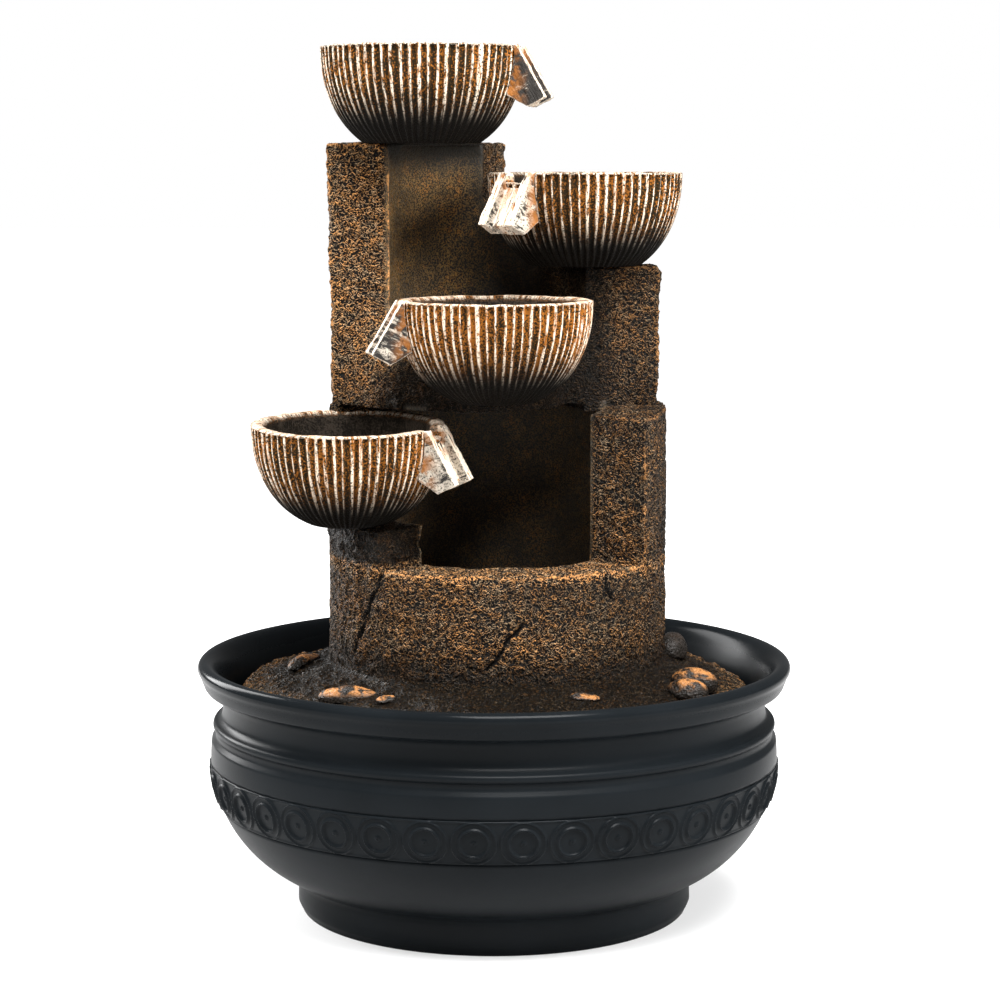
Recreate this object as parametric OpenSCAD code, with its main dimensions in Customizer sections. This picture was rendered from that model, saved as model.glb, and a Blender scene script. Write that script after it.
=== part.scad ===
// Tabletop water fountain: a round black basin and a lift-out stone tower. Water rises through the
// tower to the top bowl, and four ribbed bowls pour it down to each other, to the tower's pool and
// back into the basin, where a submersible pump stands on the floor.
// Millimetres. +Z is up, the front is -Y, and the origin is the centre of the basin's underside.

/* [Basin] */
// Radius over the rolled rim
rim_r = 138; // [136:0.5:142]
// Height of the rolled rim
rim_z = 118.5; // [117:0.5:121]
// Radius of the foot
foot_r = 90.5; // [89:0.5:92]
// Radius of the belly's round side
belly_arc_r = 61; // [60:0.5:62]
// Thickness of the basin's wall
wall = 3; // [2.5:0.1:3.2]
// Thickness of the basin's floor
floor_t = 4; // [3:0.5:5]
// Height of the moulded frieze's lower line
frieze_low_z = 51.2; // [48:0.2:54]
// Height of the moulded frieze's upper line
frieze_high_z = 71.3; // [68:0.2:74]

/* [Tower] */
// Radius of the lower drum
drum_r = 77.8; // [77:0.2:79]
// Height of the drum's ledge, which the pool is sunk into
ledge_z = 167; // [160:1:172]
// Radius of the pool and of the lower niche
bore_r = 49; // [46:0.5:50]
// Thickness of the drum's shell round the pump chamber
drum_wall = 6; // [4:0.5:8]
// Height of the step under the lowest bowl
step_z = 185; // [184:0.5:187]
// Height of the right post's front edge
post_z = 233; // [225:1:235]
// Height where the upper blocks start
block_z = 236; // [236:0.5:238]
// Height of the right block's shelf, under the second bowl
shelf_z = 300; // [298:0.5:301]
// Height of the left pillar, under the top bowl
pillar_z = 356; // [354:0.5:357]
// Radius of the upper blocks at their foot
upper_low_r = 75; // [74:0.5:76]
// Radius of the upper blocks at the pillar's top
upper_high_r = 77.3; // [76.5:0.1:77.5]
// Radius of the upper niche
upper_bore_r = 45; // [43:0.5:45.5]
// Angle from the front to the right post's face
post_angle = 58.7; // [52:0.5:66]
// Angle from the front to the left step's face
step_angle = 43; // [38:1:48]

/* [Bowls and chutes] */
// Wall of a bowl at its rim
bowl_wall = 6; // [5:0.5:7]
// Width over a chute's two sides
chute_w = 22; // [20:0.5:24]
// Thickness of a chute's sides
chute_wall = 5; // [4:0.5:6]
// How far a chute's lip stands out past the rim
chute_reach = 13.5; // [12:0.5:16]
// How far a chute's lip hangs below the rim
chute_drop = 23.5; // [21:0.5:26]
// How far the lowest bowl leans forward
lean = 3; // [1:0.5:4]

/* [Deck] */
// Radius of the rock deck
deck_r = 119; // [115:0.5:120]
// Height of the deck's outer edge
deck_edge_z = 105; // [102:0.5:107]
// Height of the deck where it meets the drum
deck_top_z = 117; // [114:0.5:119]

/* [Pump] */
// Width of the pump housing
pump_w = 46; // [44:1:50]
// Length of the pump housing
pump_l = 36; // [34:1:40]
// Height of the pump housing
pump_h = 36; // [35:0.5:38]
// Radius of the pump's rotor magnet
magnet_r = 8; // [7.5:0.1:8.2]
// Outer radius of the riser tube
tube_r = 4; // [3.8:0.05:4]
// Wall of the riser tube
tube_wall = 1; // [0.8:0.05:1.1]

/* [Hidden] */
$fn = 96;
eps = 0.5;

// The drum's axis stands a little right of the basin's.
axis_x = 1.5;
upper_x = 0.5;
upper_bore_x = -3;
pool_floor_z = 151;
pool_floor_t = 6;
chamber_z = pool_floor_z - pool_floor_t;

// Each bowl: centre x, y, rim height, radius, base height, its chute's bearing from +X, and its lean.
BOWLS = [
    [-33, 0, 400, 46.2, pillar_z, -12, 0],
    [42, 10, 343, 44.9, shelf_z, -136, 0],
    [0.7, -45, 287, 43.5, 241, -170, 0],
    [-65.7, -38, 231.5, 43.5, step_z, -22, lean]
];
bowl_power = 2.2;
bowl_depth_ratio = 1.12;
bowl_floor_t = 6;
chute_back = 3;
channel_depth = 4.5;
lip_back = 8.5;
lip_fall = 4.5;

// The riser's duct through the tower, and the pump's place under it.
duct = [-53, 14];
duct_clearance = 0.1;
tube_low_z = 52;
tube_bend_z = 70;
bend_r = 20;
bend_angle = 45;
tube_top_z = 370;

pump_x = -12;
pump_y = -4;
pump_z = floor_t + 8;
motor_x = 7;
motor_z = pump_z + pump_h / 2;
housing_wall = 2.8;
housing_rear_y = 14;
housing_front_y = housing_rear_y - pump_l;
well_wall = 1.5;
well_r = magnet_r + 0.5;
well_end_y = -12;
core_front_y = -10;
core_l = 12;
shaft_r = 1.2;
shaft_clearance = 0.05;
volute_r = 16;
volute_l = 10;
chamber_r = 12.5;
nipple_y = housing_rear_y + volute_l * 0.4;
nipple_clearance = 0.05;
nipple_r = tube_r - tube_wall - nipple_clearance;
nipple_top_z = tube_low_z + 10;
volute_end_y = housing_rear_y + volute_l;
cover_l = 9;
cover_end_y = volute_end_y + cover_l;
dial_pin_r = 2;
dial_clearance = 0.05;

// ---- outlines and helpers ----

function arc(x, y, r, a0, a1, n) = [
    for (i = [0:n]) let (a = a0 + (a1 - a0) * i / n) [x + r * cos(a), y + r * sin(a)]
];

// The belly's round side, at a height.
belly_x = 71.3;
belly_z = 74;
function belly_r(z) = belly_x + sqrt(belly_arc_r * belly_arc_r - (z - belly_z) * (z - belly_z));
function belly_angle(z, r) = asin((z - belly_z) / r);

// A bowl's radius at a depth below its rim, for a full depth.
function bowl_r(r, depth, d) = r * pow(1 - pow(d / depth, bowl_power), 1 / bowl_power);

// Everything between two bearings, counted from the front towards +X.
module between(a0, a1, z0, z1) {
    reach = 150;
    steps = 8;
    translate([axis_x, 0, z0])
        linear_extrude(z1 - z0)
            polygon(concat([[0, 0]], [
                for (i = [0:steps]) let (a = a0 + (a1 - a0) * i / steps) reach * [sin(a), -cos(a)]
            ]));
}

module lower_ring(z0, z1) {
    translate([axis_x, 0, z0])
        difference() {
            cylinder(r = drum_r, h = z1 - z0);
            translate([0, 0, -eps]) cylinder(r = bore_r, h = z1 - z0 + 2 * eps);
        }
}

module upper_cylinder(z0, z1) {
    rise = (upper_high_r - upper_low_r) / (pillar_z - block_z);
    translate([upper_x, 0, z0])
        cylinder(
            r1 = upper_low_r + (z0 - block_z) * rise,
            r2 = upper_low_r + (z1 - block_z) * rise,
            h = z1 - z0
        );
}

module upper_bore(z0, z1) {
    translate([upper_bore_x, 0, z0]) cylinder(r = upper_bore_r, h = z1 - z0);
}

module duct_bore(z0, z1) {
    translate([duct.x, duct.y, z0]) cylinder(r = tube_r + duct_clearance, h = z1 - z0);
}

// ---- basin ----

module basin_shell() {
    inner_arc_r = belly_arc_r - wall;
    foot_top_z = 15.5;
    belly_low_z = 18;
    groove_z = 82;
    bead_z = 88.7;
    neck_r = rim_r - 11.2;
    lip_low_z = rim_z - 12.4;
    outside = concat(
        [[0, 0]],
        arc(foot_r - 1.5, 1.5, 1.5, -90, 0, 4),
        [[foot_r + 1.7, 4.5], [foot_r + 1.4, 12], [foot_r + 1.8, foot_top_z]],
        arc(belly_x, belly_z, belly_arc_r,
            belly_angle(belly_low_z, belly_arc_r), belly_angle(groove_z, belly_arc_r), 24),
        [[rim_r - 7.6, groove_z + 1.6]],
        arc(rim_r - 9, bead_z, 2.2, -80, 80, 8),
        [[neck_r + 0.2, 92.5], [neck_r - 0.3, 97], [neck_r + 0.4, 103], [rim_r - 7.6, lip_low_z - 0.4]],
        [[rim_r - 3.6, lip_low_z], [rim_r - 2.4, lip_low_z + 2], [rim_r - 1.3, lip_low_z + 4.6]],
        arc(rim_r - 3.5, rim_z - 3.5, 3.5, -35, 95, 10)
    );
    inside = concat(
        [[rim_r - 7, rim_z - 1.8], [rim_r - 10.2, rim_z - 6.6], [rim_r - 12.8, rim_z - 13]],
        [[neck_r - wall + 0.2, 98], [neck_r - wall, 91]],
        arc(belly_x, belly_z, inner_arc_r,
            belly_angle(groove_z + 1, inner_arc_r), belly_angle(floor_t + 16, inner_arc_r), 20),
        [[foot_r - 2, 14], [foot_r - 2.6, floor_t + 2], [foot_r - 4.6, floor_t], [0, floor_t]]
    );
    color("#16181b")
        union() {
            rotate_extrude() polygon(concat(outside, inside));
            for (z = [frieze_low_z, frieze_high_z])
                rotate_extrude() translate([belly_r(z) - 0.3, z]) circle(r = 0.9, $fn = 24);
        }
}

// ---- pump, drawn about its own place on the basin's floor ----

module at_pump() {
    translate([pump_x, pump_y, 0]) children();
}

// Turns a shape drawn up +Z to lie along +Y on the motor's axis, from y.
module on_motor(y) {
    at_pump() translate([motor_x, y, motor_z]) rotate([-90, 0, 0]) children();
}

module pump_block(x0, x1, y0, y1, z0, z1) {
    at_pump() translate([x0, y0, z0]) cube([x1 - x0, y1 - y0, z1 - z0]);
}

module pump_housing() {
    half = pump_w / 2;
    top = pump_z + pump_h;
    color("#24272b")
        union() {
            difference() {
                pump_block(-half, half, housing_front_y, housing_rear_y, pump_z, top);
                pump_block(-half + housing_wall, half - housing_wall,
                    housing_front_y - eps, housing_rear_y - 6, pump_z + housing_wall, top - housing_wall);
                on_motor(0) cylinder(r = well_r, h = housing_rear_y + eps);
            }
            difference() {
                on_motor(well_end_y - 2)
                    cylinder(r = well_r + well_wall, h = housing_rear_y - well_end_y + 2);
                on_motor(well_end_y) cylinder(r = well_r, h = housing_rear_y - well_end_y + eps);
            }
        }
}

module motor_potting() {
    half = pump_w / 2 - housing_wall;
    color("#101010")
        pump_block(-half, half, housing_front_y, housing_front_y + 4,
            pump_z + housing_wall, pump_z + pump_h - housing_wall);
}

// A laminated core round the rotor's well, with a leg for the coil.
leg_x0 = -17;
leg_x1 = -9;
window_w = 3.6;
window_h = 18;

module stator_core() {
    color("#7d7f82")
        difference() {
            pump_block(leg_x0, 20, core_front_y, core_front_y + core_l, pump_z + 3, pump_z + pump_h - 3);
            pump_block(leg_x1, leg_x1 + window_w, core_front_y - eps, core_front_y + core_l + eps,
                motor_z - window_h / 2, motor_z + window_h / 2);
            on_motor(core_front_y - eps) cylinder(r = well_r + well_wall, h = core_l + 2 * eps);
        }
}

module coil_winding() {
    color("#b4622c")
        difference() {
            pump_block(leg_x0 - 3, leg_x1 + window_w - 0.2, core_front_y - 4, core_front_y + core_l + 4,
                motor_z - window_h / 2 + 0.5, motor_z + window_h / 2 - 0.5);
            pump_block(leg_x0, leg_x1, core_front_y, core_front_y + core_l,
                motor_z - window_h, motor_z + window_h);
        }
}

// The impeller's chamber, with the inlet eye behind and the outlet nipple on top.
module volute() {
    color("#2b2f33")
        difference() {
            union() {
                on_motor(housing_rear_y) cylinder(r = volute_r, h = volute_l);
                translate([pump_x + motor_x, pump_y + nipple_y, motor_z])
                    cylinder(r = nipple_r, h = nipple_top_z - motor_z);
            }
            on_motor(housing_rear_y - eps) cylinder(r = chamber_r, h = volute_l - 2 + eps);
            on_motor(housing_rear_y) cylinder(r = 5, h = volute_l + eps);
            on_motor(housing_rear_y - eps) cylinder(r = 15.2, h = 1.5 + eps);
            translate([pump_x + motor_x, pump_y + nipple_y, motor_z])
                cylinder(r = nipple_r - 0.9, h = nipple_top_z - motor_z + eps);
        }
}

module volute_seal() {
    color("#1a1a1a")
        on_motor(housing_rear_y + 0.75) rotate_extrude() translate([14.4, 0]) circle(r = 0.75, $fn = 24);
}

module rotor_shaft() {
    color("#e9e6df") on_motor(well_end_y) cylinder(r = shaft_r, h = volute_end_y + 2 - well_end_y);
}

module front_bush() {
    color("#222222")
        difference() {
            on_motor(well_end_y) cylinder(r = 4, h = 2);
            on_motor(well_end_y - eps) cylinder(r = shaft_r, h = 3);
        }
}

// A spider that fills the inlet eye's middle and holds the shaft.
module rear_bush() {
    color("#222222")
        difference() {
            union() {
                on_motor(volute_end_y - 2) cylinder(r = 2.4, h = 3.6);
                for (turn = [0:60:120])
                    on_motor(volute_end_y - 2) rotate([0, 0, turn])
                        translate([-4.9, -0.6, 0]) cube([9.8, 1.2, 2]);
            }
            on_motor(volute_end_y - 3) cylinder(r = shaft_r, h = 6);
        }
}

module suction_cups() {
    color("#202225")
        for (x = [-pump_w / 2 + 7, pump_w / 2 - 7], y = [housing_front_y + 6, housing_rear_y - 6])
            at_pump() translate([x, y, floor_t]) {
                cylinder(r1 = 6.5, r2 = 3, h = 4, $fn = 48);
                translate([0, 0, 4]) cylinder(r = 3, h = pump_z - floor_t - 4, $fn = 48);
            }
}

gland_r = 4;
gland_bore_r = 2.6;
gland_h = 9;

module cord_gland() {
    color("#1c1e20")
        at_pump() translate([-12, -12, pump_z + pump_h])
            difference() {
                cylinder(r1 = gland_r + 1, r2 = gland_r, h = gland_h);
                translate([0, 0, 1]) cylinder(r = gland_bore_r, h = gland_h);
            }
}

module rotor_magnet() {
    color("#4a4c50")
        difference() {
            on_motor(well_end_y + 2.4) cylinder(r = magnet_r, h = 18);
            on_motor(well_end_y + 1) cylinder(r = shaft_r + shaft_clearance, h = 21);
        }
}

module impeller() {
    blade_count = 6;
    blade_y = housing_rear_y + 0.8;
    hub_y = well_end_y + 20.4;
    color("#d8d8d2")
        difference() {
            union() {
                on_motor(hub_y) cylinder(r = 4, h = blade_y + 6 - hub_y);
                for (i = [1:blade_count])
                    on_motor(blade_y) rotate([0, 0, 360 * i / blade_count])
                        translate([2, -0.7, 0]) cube([9.2, 1.4, 6]);
            }
            on_motor(hub_y - 1) cylinder(r = shaft_r + shaft_clearance, h = 20);
        }
}

cover_w = 38;
cover_h = 32;
cover_wall = 1.6;
slot_count = 4;

// The intake's strainer, a slotted cap that pulls off backwards.
module intake_cover() {
    color("#2b2f33")
        difference() {
            pump_block(motor_x - cover_w / 2, motor_x + cover_w / 2, volute_end_y - 4, cover_end_y,
                motor_z - cover_h / 2, motor_z + cover_h / 2);
            pump_block(motor_x - cover_w / 2 + cover_wall, motor_x + cover_w / 2 - cover_wall,
                volute_end_y - 5, cover_end_y - cover_wall - 0.2,
                motor_z - cover_h / 2 - eps, motor_z + cover_h / 2 - cover_wall);
            on_motor(volute_end_y - 5) cylinder(r = volute_r + 0.3, h = cover_l);
            for (side = [-1, 1], i = [0:slot_count - 1])
                pump_block(motor_x + side * 11 - 3.5, motor_x + side * 11 + 3.5,
                    cover_end_y - 3, cover_end_y + eps, motor_z - 11 + 6 * i, motor_z - 8 + 6 * i);
            on_motor(cover_end_y - 4) cylinder(r = dial_pin_r + dial_clearance, h = 6);
        }
}

module flow_dial() {
    color("#3a3f44")
        union() {
            on_motor(cover_end_y - 4) cylinder(r = dial_pin_r, h = 5);
            on_motor(cover_end_y - 4) cylinder(r = 3, h = 2);
            on_motor(cover_end_y + 0.2) cylinder(r = 6.2, h = 1.6);
            on_motor(cover_end_y + 1.8) translate([-5, -1.1, 0]) cube([10, 2.2, 2.4]);
        }
}

// ---- tower ----

inlet_w = 24;
inlet_h = 16;

module lower_drum() {
    color("#3b3029")
        difference() {
            translate([axis_x, 0, floor_t]) cylinder(r = drum_r, h = ledge_z - floor_t);
            translate([axis_x, 0, floor_t - eps])
                cylinder(r = drum_r - drum_wall, h = chamber_z - floor_t + eps);
            translate([axis_x, 0, pool_floor_z]) cylinder(r = bore_r, h = ledge_z - pool_floor_z + eps);
            for (bearing = [0, 120, 240])
                translate([axis_x, 0, floor_t - eps]) rotate([0, 0, bearing])
                    translate([-inlet_w / 2, -drum_r - 2, 0]) cube([inlet_w, drum_wall + 6, inlet_h + eps]);
            duct_bore(chamber_z - eps, ledge_z + eps);
        }
}

function deck_profile() = [
    [70, deck_top_z + 0.5], [84, deck_top_z - 1], [104, deck_edge_z + 4.5], [116, deck_edge_z + 1.5],
    [deck_r, deck_edge_z - 0.5], [deck_r, deck_edge_z - 7], [deck_r - 4, deck_edge_z - 7],
    [108, deck_edge_z - 3.5], [84, deck_top_z - 8.5], [70, deck_top_z - 7]
];

module deck_solid() {
    rotate_extrude() polygon(deck_profile());
}

// All that lies at or under the deck's top, which a stone that rests on it stays clear of.
module under_deck() {
    top = [for (i = [0:4]) deck_profile()[i]];
    deep_z = deck_edge_z - 20;
    rotate_extrude() polygon(concat(top, [[deck_r, deep_z], [70, deep_z]]));
}

module rock_deck() {
    cable_notch_r = 5;
    color("#2c2926")
        difference() {
            deck_solid();
            translate([axis_x, 0, floor_t]) cylinder(r = drum_r, h = ledge_z);
            translate([0, deck_r, deck_edge_z - 20]) cylinder(r = cable_notch_r, h = 40);
        }
}

module left_step() {
    color("#352c26")
        intersection() {
            lower_ring(ledge_z, step_z);
            between(-90, -step_angle, ledge_z - eps, step_z + eps);
        }
}

module niche_wall() {
    color("#332b25")
        difference() {
            intersection() {
                lower_ring(ledge_z, block_z);
                between(90, 270, ledge_z - eps, block_z + eps);
            }
            bowl_solid(BOWLS[3]);
            duct_bore(ledge_z - eps, block_z + eps);
        }
}

// Its broken top slopes up to the block behind it.
module right_post() {
    color("#3f342c")
        intersection() {
            lower_ring(ledge_z, block_z);
            between(post_angle, 90, ledge_z - eps, block_z + eps);
            rotate([90, 0, 90]) linear_extrude(drum_r * 2)
                polygon([[-drum_r, ledge_z - eps], [eps, ledge_z - eps], [eps, block_z],
                    [-drum_r / 2, post_z], [-drum_r, post_z]]);
        }
}

// The plan of the upper blocks' join, at the back of the niche and out through the wall.
join_in = [-9, 36];
join_out = [6.5, 80];

module left_pillar() {
    roof_t = 5;
    roof_front_y = 16;
    color("#3d322a")
        difference() {
            intersection() {
                upper_cylinder(block_z, pillar_z);
                translate([0, 0, block_z - eps]) linear_extrude(pillar_z - block_z + 2 * eps)
                    polygon([[-90, 0], [upper_bore_x + 1, 0], join_in, join_out, [-90, 80]]);
            }
            upper_bore(block_z - eps, pillar_z - roof_t);
            intersection() {
                upper_bore(block_z, pillar_z + eps);
                translate([-60, -eps, block_z]) cube([120, roof_front_y + eps, pillar_z]);
            }
            duct_bore(block_z - eps, pillar_z + eps);
        }
}

// Its shoulder carries the niche's wall up behind the second bowl, which is let into it.
module right_block() {
    shoulder_z = 328;
    shoulder_x = 34;
    color("#3a3029")
        difference() {
            intersection() {
                upper_cylinder(block_z, shoulder_z);
                translate([0, 0, block_z - eps]) linear_extrude(shoulder_z)
                    polygon([[upper_bore_x + 1, 0], [90, 0], [90, 80], join_out, join_in]);
            }
            translate([shoulder_x, -eps, shelf_z]) cube([90, 90, shoulder_z]);
            upper_bore(block_z - eps, shoulder_z + eps);
            bowl_solid(BOWLS[1]);
        }
}

// A rock corbel that carries the third bowl, and closes the upper niche's foot behind it.
module bowl_bracket() {
    niche_floor_z = 280;
    color("#2f2823")
        difference() {
            union() {
                intersection() {
                    upper_bore(block_z, niche_floor_z);
                    translate([-80, 0, block_z - eps]) cube([160, 80, 60]);
                }
                hull() {
                    translate([0, 0, block_z]) linear_extrude(4)
                        polygon([[-73, 0], [-58, -14], [-43, -27], [-29, -36], [-14, -40],
                            [2, -38], [18, -26], [30, -10], [33, 0]]);
                    translate([0, 0, niche_floor_z - 4]) linear_extrude(4)
                        polygon([[-60, 0], [-46, -2], [28, -2], [28, 0]]);
                }
            }
            bowl_solid(BOWLS[2]);
        }
}

// ---- bowls and chutes ----

function outline(r, depth, last) = let (n = 24) [
    for (i = [0:n]) let (d = last * i / n) [bowl_r(r, depth, d), -d]
];

// Draws about the middle of a bowl's rim.
module at_rim(b) {
    translate([b.x, b.y, b[2]]) rotate([b[6], 0, 0]) children();
}

// A bowl's whole outer form, from its rim down to its flat base.
module bowl_solid(b) {
    height = b[2] - b[4] + 2;
    intersection() {
        at_rim(b) rotate_extrude()
            polygon(concat([[0, 0]], outline(b[3], b[3] * bowl_depth_ratio, height), [[0, -height]]));
        translate([b.x, b.y, b[4]]) cylinder(r = 2 * b[3], h = 2 * b[3]);
    }
}

module bowl_hollow(b) {
    height = b[2] - b[4] - bowl_floor_t;
    r = b[3] - bowl_wall;
    depth = b[3] * bowl_depth_ratio - bowl_wall;
    at_rim(b) rotate_extrude()
        polygon(concat([[0, 1], [r, 1]], outline(r, depth, height), [[0, -height]]));
}

// Draws along a chute, with x outwards from the middle of its bowl's rim.
module at_chute(b) {
    at_rim(b) rotate([0, 0, b[5]]) children();
}

module side_plate(points, y0, y1) {
    translate([0, y1, 0]) rotate([90, 0, 0]) linear_extrude(y1 - y0) polygon(points);
}

function lip_top(r) = [r + chute_reach, -chute_drop];
function lip_bottom(r) = [r + chute_reach - lip_back, -chute_drop - lip_fall];
function heel(r) = [r - chute_back - 1.3, -chute_drop + 1];

module chute(b) {
    r = b[3];
    half = chute_w / 2;
    side = [[r - chute_back, 0], [r, 0], lip_top(r), lip_bottom(r), heel(r)];
    bed = [[r - chute_back, -channel_depth - 1], [r - 1, -channel_depth - 1],
        lip_top(r) + [-5, -0.5], lip_bottom(r), heel(r)];
    color("#e6ddd0")
        difference() {
            at_chute(b) union() {
                side_plate(side, half - chute_wall, half);
                side_plate(side, -half, -half + chute_wall);
                side_plate(bed, -half + chute_wall, half - chute_wall);
            }
            bowl_solid(b);
        }
}

module bowl(b) {
    slot_w = chute_w - 2 * chute_wall;
    color("#b08a63")
        difference() {
            bowl_solid(b);
            bowl_hollow(b);
            at_chute(b) translate([b[3] - 2 * bowl_wall, -slot_w / 2, -channel_depth])
                cube([3 * bowl_wall, slot_w, channel_depth + 1]);
        }
}

module bowl_1() {
    difference() {
        bowl(BOWLS[0]);
        duct_bore(pillar_z - eps, pillar_z + 20);
    }
}

module bowl_2() { bowl(BOWLS[1]); }
module bowl_3() { bowl(BOWLS[2]); }
module bowl_4() { bowl(BOWLS[3]); }

module chute_1() { chute(BOWLS[0]); }
module chute_2() { chute(BOWLS[1]); }
module chute_3() { chute(BOWLS[2]); }
module chute_4() { chute(BOWLS[3]); }

// ---- stones on the deck ----

// A rounded pebble, long along its bearing: place, half length, half thickness, bearing.
module pebble(p) {
    n = 16;
    difference() {
        translate(p[0]) rotate([0, 90, p[3]]) rotate_extrude($fn = 48)
            polygon([for (i = [0:n]) let (a = -90 + 180 * i / n) [p[2] * cos(a), p[1] * sin(a)]]);
        under_deck();
        translate([axis_x, 0, floor_t]) cylinder(r = drum_r, h = ledge_z);
    }
}

module log_stone() {
    color("#5a4636") pebble([[-88, 4, 113], 14, 5.5, 62]);
}

module left_pebbles() {
    color("#b5713a") {
        pebble([[-64, -70, 111.5], 14.5, 6, -12]);
        pebble([[-46.5, -79, 111], 6, 3.8, 10]);
    }
}

module right_pebbles() {
    color("#b5713a") {
        pebble([[39, -79, 111.5], 9.5, 5, 8]);
        pebble([[90.5, -38, 112.5], 11.5, 7.3, -20]);
        pebble([[86.5, -54.5, 111.5], 9.8, 6.3, -20]);
    }
}

module dark_rock() {
    color("#2a2724") pebble([[84.5, 19, 118], 10, 7.6, 80]);
}

// ---- riser ----

module tube_run(length) {
    difference() {
        cylinder(r = tube_r, h = length);
        translate([0, 0, -eps]) cylinder(r = tube_r - tube_wall, h = length + 2 * eps);
    }
}

// A bend that starts up +Z at the origin and leans towards -X. What follows it is drawn up +Z from its end.
module tube_bend() {
    translate([-bend_r, 0, 0]) {
        rotate([90, 0, 0])
            rotate_extrude(angle = bend_angle)
                translate([bend_r, 0]) difference() {
                    circle(r = tube_r);
                    circle(r = tube_r - tube_wall);
                }
        rotate([0, -bend_angle, 0]) translate([bend_r, 0, 0]) children();
    }
}

// Straight up off the nipple, across under the pool, and up the duct.
module riser_tube() {
    first_run = tube_bend_z - tube_low_z;
    start = [pump_x + motor_x, pump_y + nipple_y, tube_low_z];
    side = start.x - duct.x;
    bend_side = bend_r * (1 - cos(bend_angle));
    bend_rise = bend_r * sin(bend_angle);
    lean_run = (side - 2 * bend_side) / sin(bend_angle);
    high_z = tube_bend_z + 2 * bend_rise + lean_run * cos(bend_angle);
    color("#c9d3d6")
        translate(start) {
            tube_run(first_run);
            translate([0, 0, first_run]) tube_bend() union() {
                tube_run(lean_run);
                translate([0, 0, lean_run])
                    rotate([0, 0, 180])
                        tube_bend() tube_run(tube_top_z - high_z);
            }
        }
}

module tube_nozzle() {
    color("#1e2022")
        translate([duct.x, duct.y, tube_top_z - 2])
            difference() {
                cylinder(r = tube_r + 1.6, h = 6);
                translate([0, 0, -eps]) cylinder(r = tube_r, h = 2 + eps);
                cylinder(r = tube_r - 1.6, h = 6 + eps);
            }
}

basin_shell();
pump_housing();
motor_potting();
stator_core();
coil_winding();
volute();
volute_seal();
rotor_shaft();
front_bush();
rear_bush();
suction_cups();
cord_gland();
rotor_magnet();
impeller();
intake_cover();
flow_dial();
lower_drum();
rock_deck();
left_step();
niche_wall();
right_post();
left_pillar();
right_block();
bowl_bracket();
bowl_1();
bowl_2();
bowl_3();
bowl_4();
chute_1();
chute_2();
chute_3();
chute_4();
log_stone();
left_pebbles();
right_pebbles();
dark_rock();
riser_tube();
tube_nozzle();
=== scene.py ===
"""Looks of the tabletop fountain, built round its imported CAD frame. Metres, in the frame's own axes."""

import math

import bmesh
import bpy
import numpy as np
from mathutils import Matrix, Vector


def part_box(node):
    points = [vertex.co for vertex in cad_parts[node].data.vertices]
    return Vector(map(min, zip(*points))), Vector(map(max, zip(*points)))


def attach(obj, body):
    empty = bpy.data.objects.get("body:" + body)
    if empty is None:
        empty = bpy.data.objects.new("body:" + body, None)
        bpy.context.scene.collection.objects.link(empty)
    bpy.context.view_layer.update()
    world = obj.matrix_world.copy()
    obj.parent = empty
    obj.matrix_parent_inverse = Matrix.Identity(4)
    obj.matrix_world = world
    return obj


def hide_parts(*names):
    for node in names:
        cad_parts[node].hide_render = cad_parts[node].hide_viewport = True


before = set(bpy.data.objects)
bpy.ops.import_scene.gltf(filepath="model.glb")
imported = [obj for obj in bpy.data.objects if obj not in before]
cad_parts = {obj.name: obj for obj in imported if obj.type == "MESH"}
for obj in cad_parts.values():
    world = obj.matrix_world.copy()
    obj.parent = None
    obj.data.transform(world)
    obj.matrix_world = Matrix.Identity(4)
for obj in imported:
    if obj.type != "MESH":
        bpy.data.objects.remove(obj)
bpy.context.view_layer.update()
MM = 0.001


# ---------------- camera, light and stage

CAMERA_DISTANCE = 1.264
CAMERA_HEIGHT = 0.3504
CAMERA_TILT = math.radians(7.16)
CAMERA_LENS = 98.7
CAMERA_SHIFT = 0.006
LIGHT_TARGET = (0, 0, 0.2)
FLOOR_REACH = 12
ROOM_LIGHT = 0.16


def new_object(name, data):
    thing = bpy.data.objects.new(name, data)
    bpy.context.scene.collection.objects.link(thing)
    return thing


def make_camera():
    data = bpy.data.cameras.new("camera")
    data.lens = CAMERA_LENS
    data.sensor_width = 36
    data.shift_x = CAMERA_SHIFT
    data.clip_start = 0.05
    camera = new_object("camera", data)
    camera.location = (0, -CAMERA_DISTANCE, CAMERA_HEIGHT)
    camera.rotation_euler = (math.pi / 2 - CAMERA_TILT, 0, 0)
    bpy.context.scene.camera = camera


def make_softbox(name, place, size, power, glossy=True):
    """A rectangular light. One that isn't glossy lights faces but leaves no streak in the basin's gloss."""
    data = bpy.data.lights.new(name, "AREA")
    data.shape = "RECTANGLE"
    data.size, data.size_y = size
    data.energy = power
    light = new_object(name, data)
    light.location = place
    light.visible_glossy = glossy
    light.rotation_euler = aim_rotation([t - p for t, p in zip(LIGHT_TARGET, place)])


def aim_rotation(direction):
    """The rotation that points a light's -Z along a direction."""
    x, y, z = direction
    flat = math.hypot(x, y)
    return (math.atan2(flat, -z), 0, math.atan2(x, -y) + math.pi if flat > 1e-6 else 0)


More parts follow.
